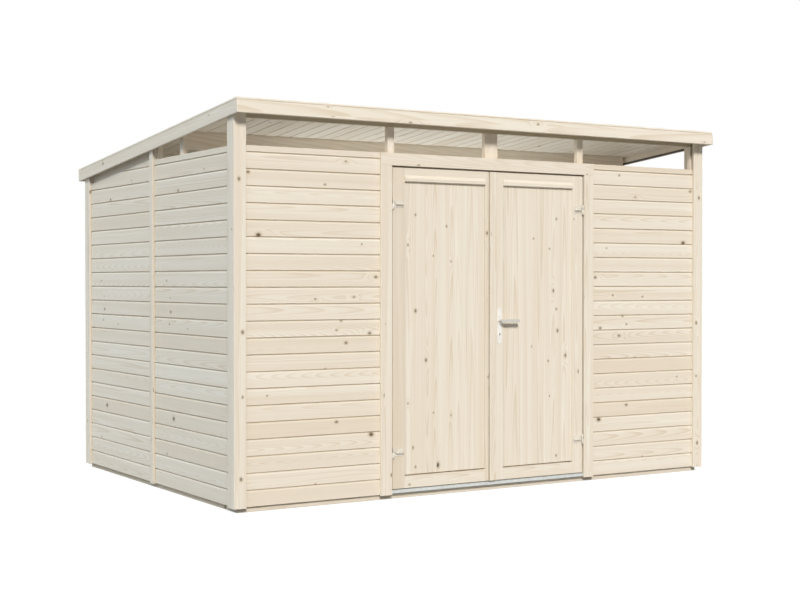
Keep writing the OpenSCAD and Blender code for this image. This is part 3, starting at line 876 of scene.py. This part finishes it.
SPRUCE_BOARDS = board_spruce()
BOARD_NODES = (
    ("front_cladding", RIGHT, UP, BACK, TONGUED, "cladding", "shed", 11),
    ("left_cladding", BACK, UP, RIGHT, TONGUED, "cladding", "shed", 23),
    ("right_cladding", BACK, UP, -RIGHT, TONGUED, "cladding", "shed", 37),
    ("back_cladding", RIGHT, UP, -BACK, TONGUED, "cladding", "shed", 41),
    ("floor", RIGHT, BACK, -UP, FLUSH, "floor_boards", "shed", 53),
    ("roof_deck", ROOF_BACK, RIGHT, ROOF_UP, FLUSH, "roof_boards", "shed", 67),
    ("left_door_panel", UP, RIGHT, BACK, STAVES, "door_timber", "door_left", 71),
    ("right_door_panel", UP, RIGHT, BACK, STAVES, "door_timber", "door_right", 83),
)
for node, run, stack, inward, kind, slot, body, seed in BOARD_NODES:
    piece = lay_boards(node, run, stack, inward, kind, seed).make(node + "_boards", SPRUCE_BOARDS)
    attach(piece, body)
    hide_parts(node)

# Packing behind the trim of the sides, above the upper ends of the cladding


def level_at(node, solid, y):
    """How high the upper end of a solid is at a place along Y."""
    peak, facing = upper_end(node, solid, UP)
    return peak.z - (y - peak.y) * facing.y / facing.z


def solids_of(*members):
    """Each solid of some nodes, after its node's name."""
    return [(node, solid) for node in members for solid in islands(node)]


def packing_grain(point):
    return (point.z, point.y, point.x)


packing = BoardMesh()
for trim_node, trim in solids_of("side_corner_boards", "side_cover_strips"):
    for wall_node, wall in solids_of("left_cladding", "right_cladding"):
        wall_x, trim_x = span_of(wall, RIGHT), span_of(trim, RIGHT)
        wall_y, trim_y = span_of(wall, BACK), span_of(trim, BACK)
        ys = (max(trim_y[0], wall_y[0]), min(trim_y[1], wall_y[1]))
        if wall_x[0] * trim_x[0] > 0 and ys[0] < ys[1]:
            outline = [(y, level_at(wall_node, wall, y) + PACKING_PLAY) for y in ys]
            outline += [(y, level_at(trim_node, trim, y) - PACKING_PLAY) for y in reversed(ys)]
            bar = prism(outline, along_x, wall_x[0] + PACKING_PLAY, wall_x[1] - PACKING_PLAY)
            packing.add_clear(bar, packing_grain, ys[0])
packing_piece = packing.make("trim_packing", SPRUCE_BOARDS)
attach(packing_piece, "shed")


# A sloping bead between the left stile and the panel of each leaf

def door_bead(low, high):
    """A bead along the left edge of a panel, whose corners are given."""
    outline = [(low.x, low.y - BEAD_D), (low.x + BEAD_W, low.y), (low.x, low.y)]

    def upright(run, aside, back):
        return Vector((aside, back, run))

    def bead_grain(point):
        return (point.z, point.x - low.x, point.y - low.y)

    bead = BoardMesh()
    bead.add_clear(prism(outline, upright, low.z, high.z), bead_grain, low.x)
    return bead


for leaf in ("left", "right"):
    piece = door_bead(*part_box(leaf + "_door_panel")).make(leaf + "_door_bead", SPRUCE_BOARDS)
    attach(piece, "door_" + leaf)

# Planed timbers keep their frame shapes: their grain's directions along, across and through them,
# whether they lie on the roof's slope, and how far their edges are eased
TIMBERS = (
    ("XYZ", False, EASED_EDGE, ("base_bearers", "door_head_stop")),
    ("YXZ", False, EASED_EDGE, ("base_joists",)),
    ("XZY", False, EASED_EDGE, ("sole_plates", "top_plates", "door_header", "door_head_rail", "purlins")),
    ("XZY", False, SHARP_EDGE, ("left_door_rails", "right_door_rails")),
    ("XZY", True, ROUND_EDGE, ("eaves_fascias",)),
    ("XYZ", True, ROUND_EDGE, ("eaves_caps",)),
    ("YZX", True, ROUND_EDGE, ("verge_fascias",)),
    ("YXZ", True, ROUND_EDGE, ("verge_caps",)),
    ("ZXY", False, EASED_EDGE, ("front_studs", "back_studs", "front_corner_boards", "back_corner_boards",
                                "back_cover_strips", "door_casings", "door_jambs", "door_side_stops",
                                "clerestory_posts")),
    ("ZXY", False, SHARP_EDGE, ("left_door_stiles", "right_door_stiles", "right_door_astragal")),
    ("ZYX", False, EASED_EDGE, ("left_studs", "right_studs", "side_corner_boards", "side_cover_strips")),
)
# Real tints of whole nodes, and painted shade on the side trim and the front purlin
STAINS_AND_SHADES = {
    "side_cover_strips": PAINTED_EDGE_SHADE, "side_corner_boards": PAINTED_EDGE_SHADE,
    "base_joists": JOIST_TINT, "purlins": PAINTED_EAVES_SHADE, "left_door_stiles": WARM_STAIN,
}
WAYS = {"X": RIGHT, "Y": BACK, "Z": UP}
TILTED_WAYS = {"X": RIGHT, "Y": ROOF_BACK, "Z": ROOF_UP}
for axes, tilted, eased, members in TIMBERS:
    ways = TILTED_WAYS if tilted else WAYS
    for node in members:
        solid = islands(node)[-1]
        spans = [span_of(solid, ways[axis]) for axis in axes[1:]]
        middles = [sum(span) / 2 for span in spans]
        centre = [abs(middle) if axis in "XY" else middle for axis, middle in zip(axes[1:], middles)]
        width = spans[0][1] - spans[0][0]
        material = timber_spruce(
            "spruce_" + node, axes, centre, width, tilted, PLACED_KNOTS.get(node), STAINS_AND_SHADES.get(node))
        dress(node, material, eased)

# Roofing felt in courses that lap over each other, the lowest at the back

felt = islands("roof_felt")[0]
felt_front, felt_back = span_of(felt, ROOF_BACK)
felt_z = span_of(felt, ROOF_UP)[0]
course = (felt_back - felt_front) / FELT_COURSES
felt_outline = [(felt_back, 0.0), (felt_front, 0.0)]
for i in range(FELT_COURSES):
    felt_outline.append((felt_front + i * course, FELT_THIN))
    felt_outline.append((felt_front + (i + 1) * course, FELT_T))


def on_roof(run, back, up):
    return RIGHT * run + ROOF_BACK * back + ROOF_UP * (felt_z + up)


FELT = felt_material()
felt_piece = piece_of("felt_courses", [prism(felt_outline, on_roof, *span_of(felt, RIGHT))], FELT)
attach(felt_piece, "shed")
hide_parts("roof_felt")

# Turned-down edges of the felt behind the verge fascias, seen in the open wedges of the sides

lip_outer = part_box("verge_fascias")[1].x - FASCIA_T
lip_inner = lip_outer - FELT_LIP_T
lip_foot = span_of(islands("verge_fascias")[0], ROOF_UP)[0] + FELT_LIP_RISE
lip_top = lip_foot + FELT_LIP_H
lip_outline = [(lip_inner, lip_foot), (lip_outer, lip_foot), (lip_outer, lip_top), (lip_inner, lip_top)]


def verge_lip(side):
    """Places of a bar along the left verge, for a side of -1, or along the right one, for 1."""
    def place(run, aside, up):
        return RIGHT * (side * aside) + ROOF_BACK * run + ROOF_UP * up
    return place


lips = piece_of("felt_lips", [
    prism(lip_outline, verge_lip(side), FELT_LIP_START, FELT_LIP_END) for side in (-1, 1)], FELT)
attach(lips, "shed")

# Threshold with a ribbed tread

ALUMINIUM = metal(
    "drawn_aluminium", colour(214, 217, 214), rough=0.32, lines=(6.0, 900.0, 900.0), metallic=0.5)


def tread_outline(low, high):
    """Outline across a threshold, whose corners are given: a bevelled nose and a groove beside each rib."""
    bevel = (high.z - low.z) / 2
    outline = [(low.y, low.z), (low.y, low.z + bevel), (low.y + bevel, high.z)]
    step = (high.y - low.y - 2 * bevel) / RIB_COUNT
    for i in range(RIB_COUNT):
        start = low.y + FIRST_RIB_SHARE * bevel + i * step
        outline += [(start, high.z), (start + RIB_D, high.z - RIB_D),
                    (start + RIB_W - RIB_D, high.z - RIB_D), (start + RIB_W, high.z)]
    return outline + [(high.y, high.z), (high.y, low.z)]


low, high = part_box("threshold")
threshold = piece_of("threshold_tread", [prism(tread_outline(low, high), along_x, low.x, high.x)], ALUMINIUM)
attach(threshold, "shed")
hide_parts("threshold")

# Hinges, lock and lever

# Painted reflection: the zinc's cream colour stands in for the wood that it reflects
PAINTED_REFLECTION_ZINC = metal("zinc_with_painted_reflection", colour(226, 217, 202), rough=0.30, lines=(240.0, 240.0, 240.0), metallic=0.2)
SATIN = metal("satin_lock", colour(248, 243, 234), rough=0.28, lines=(30.0, 30.0, 700.0), metallic=0.2)
LEVER = metal("satin_lever", colour(214, 208, 196), rough=0.30, lines=(30.0, 30.0, 700.0), metallic=0.2)
DARK_METAL = metal("dark_keyway", colour(64, 62, 58), rough=0.4, lines=(400.0, 400.0, 400.0), metallic=1.0)
for node in ("frame_hinges", "left_door_hinges", "right_door_hinges"):
    dress(node, PAINTED_REFLECTION_ZINC, SHARP_EDGE)
dress("lock_plates", SATIN, PLATE_EDGE)
dress("lever_handles", LEVER, LEVER_EDGE)


def screw(centre, facing):
    """A raised screw head with a cross recess, on a face that looks along Y in the facing sense."""
    bar = bmesh.new()
    rows = []
    for i in range(1, SCREW_RINGS + 1):
        share = i / SCREW_RINGS
        row = []
        for j in range(SCREW_SIDES):
            angle = 2 * math.pi * j / SCREW_SIDES
            x, z = share * math.cos(angle), share * math.sin(angle)
            sunk = share <= RECESS_REACH_SHARE and min(abs(x), abs(z)) < RECESS_WIDTH_SHARE
            rise = SCREW_OUT * math.sqrt(1 - share ** 2) * (RECESS_LEVEL_SHARE if sunk else 1.0)
            row.append(bar.verts.new(centre + Vector((SCREW_R * x, facing * rise, SCREW_R * z))))
        rows.append(row)
    middle = bar.verts.new(centre + BACK * (facing * SCREW_OUT * RECESS_LEVEL_SHARE))
    foot = bar.verts.new(centre - BACK * (facing * SCREW_OUT))
    for j in range(SCREW_SIDES):
        k = (j + 1) % SCREW_SIDES
        bar.faces.new((middle, rows[0][j], rows[0][k]))
        bar.faces.new((foot, rows[-1][k], rows[-1][j]))
        for inner, outer in zip(rows, rows[1:]):
            bar.faces.new((inner[j], outer[j], outer[k], inner[k]))
    bmesh.ops.recalc_face_normals(bar, faces=bar.faces[:])
    return bar


for x, body in zip(HINGE_XS, ("door_left", "door_right")):
    bars = [screw(Vector((x + side * HINGE_SCREW_X, HINGE_FACE_Y, z + level)), -1)
            for z in HINGE_ZS for side in (-1, 1) for level in HINGE_SCREW_ZS]
    piece = piece_of(body + "_hinge_screws", bars, PAINTED_REFLECTION_ZINC)
    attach(piece, body)

lock_screws = piece_of("lock_screws", [
    screw(Vector((LOCK_X, y, z)), facing)
    for y, facing in ((LOCK_FACE_Y, -1), (LOCK_BACK_Y, 1)) for z in LOCK_SCREW_ZS], SATIN)
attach(lock_screws, "door_right")

# The keyway is a round plug with a slot below it
slot_angle = math.asin(KEY_SLOT_W / 2 / KEY_R)
arc_start = -math.pi / 2 + slot_angle
arc_turn = 2 * math.pi - 2 * slot_angle
arc = [arc_start + arc_turn * i / KEY_STEPS for i in range(KEY_STEPS + 1)]
keyway = [(KEY_R * math.cos(angle), KEY_R * math.sin(angle)) for angle in arc]
keyway += [(-KEY_SLOT_W / 2, -KEY_SLOT_L), (KEY_SLOT_W / 2, -KEY_SLOT_L)]


def on_lock(run, aside, up):
    return Vector((LOCK_X + aside, KEY_FACE_Y + run, KEY_Z + up))


key_piece = piece_of("keyway", [prism(keyway, on_lock, -KEY_OUT, KEY_OUT)], DARK_METAL)
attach(key_piece, "door_right")

# Camera at the photograph's viewing angle, with its dip and heading in degrees and its lens in millimetres

CAMERA_PLACE = (-4.8205, -7.8968, 1.2152)
CAMERA_DIP = 0.705
CAMERA_HEADING = -31.79
SENSOR_W = 36
LENS = 64.12
camera = bpy.data.objects.new("camera", bpy.data.cameras.new("camera"))
camera.location = CAMERA_PLACE
camera.rotation_euler = (math.radians(90 - CAMERA_DIP), 0, math.radians(CAMERA_HEADING))
camera.data.sensor_fit = "HORIZONTAL"
camera.data.sensor_width = SENSOR_W
camera.data.lens = LENS
bpy.context.scene.collection.objects.link(camera)
bpy.context.scene.camera = camera

# Light: a key from the front left, a soft cool light on the left side, a soft fill from behind,
# a pale sky, and a lamp inside that shows the underside of the roof

# Suns: the way the light travels, its strength, its colour and its spread in degrees
SUNS = {
    "key": ((0.338, 0.758, -0.558), 2.98, (1.0, 0.986, 0.971), 13),
    "side": ((0.76, 0.1, -0.64), 1.13, (0.52, 0.77, 1.0), 60),
    "fill": ((-0.62, -0.62, -0.48), 1.5, (1.0, 0.98, 0.95), 30),
}
ROOM_LAMP_PLACE = (-0.06, -0.55, 1.35)
ROOM_LAMP_SIZE = (2.3, 0.7)
ROOM_LAMP_POWER = 9.5
ROOM_LAMP_TINT = (0.82, 0.91, 1.0)
SKY = grey(0.18)

for name, (travel, strength, tint, spread) in SUNS.items():
    lamp = bpy.data.lights.new(name, "SUN")
    lamp.energy = strength
    lamp.color = tint
    lamp.angle = math.radians(spread)
    item = bpy.data.objects.new(name, lamp)
    item.rotation_euler = Vector(travel).to_track_quat("-Z", "Y").to_euler()
    bpy.context.scene.collection.objects.link(item)

room = bpy.data.lights.new("room", "AREA")
room.shape = "RECTANGLE"
room.size, room.size_y = ROOM_LAMP_SIZE
room.energy = ROOM_LAMP_POWER
room.color = ROOM_LAMP_TINT
room_lamp = bpy.data.objects.new("room", room)
room_lamp.location = ROOM_LAMP_PLACE
room_lamp.rotation_euler = (math.pi, 0, 0)
room_lamp.visible_camera = False
bpy.context.scene.collection.objects.link(room_lamp)


def seen_directly(graph):
    """1 for what the camera sees straight, mirrored or through glass, and 0 for light on the object."""
    path = graph.node("ShaderNodeLightPath").outputs
    direct = graph.math("MAXIMUM", path["Is Camera Ray"], path["Is Glossy Ray"])
    return graph.math("MAXIMUM", direct, path["Is Transmission Ray"])


world = bpy.data.worlds.new("studio")
world.use_nodes = True
bpy.context.scene.world = world
graph = Graph(world.node_tree)
background = world.node_tree.nodes["Background"]
graph.feed(background.inputs["Color"], graph.mix(seen_directly(graph), SKY, grey(1.0)))

# Floor: mid grey, with a glow for the camera alone that lifts it to white outside the shadow

FLOOR_R = 60.0
FLOOR_SIDES = 96
FLOOR_SHADE = 0.28
FLOOR_GLOW = 0.80
disc = bmesh.new()
bmesh.ops.create_circle(disc, cap_ends=True, segments=FLOOR_SIDES, radius=FLOOR_R)
floor_material = bpy.data.materials.new("studio_floor")
floor_material.use_nodes = True
floor_material.node_tree.nodes.clear()
graph = Graph(floor_material.node_tree)
diffuse = graph.node("ShaderNodeBsdfDiffuse")
diffuse.inputs["Color"].default_value = grey(FLOOR_SHADE)
glow = graph.node("ShaderNodeEmission")
graph.feed(glow.inputs["Strength"], graph.times(seen_directly(graph), FLOOR_GLOW))
both = graph.filled("ShaderNodeAddShader", (diffuse.outputs[0], glow.outputs[0]))[0]
graph.feed(graph.node("ShaderNodeOutputMaterial").inputs["Surface"], both)
floor_piece = piece_of("studio_floor", [disc], floor_material)

bpy.context.scene.view_settings.view_transform = "Standard"
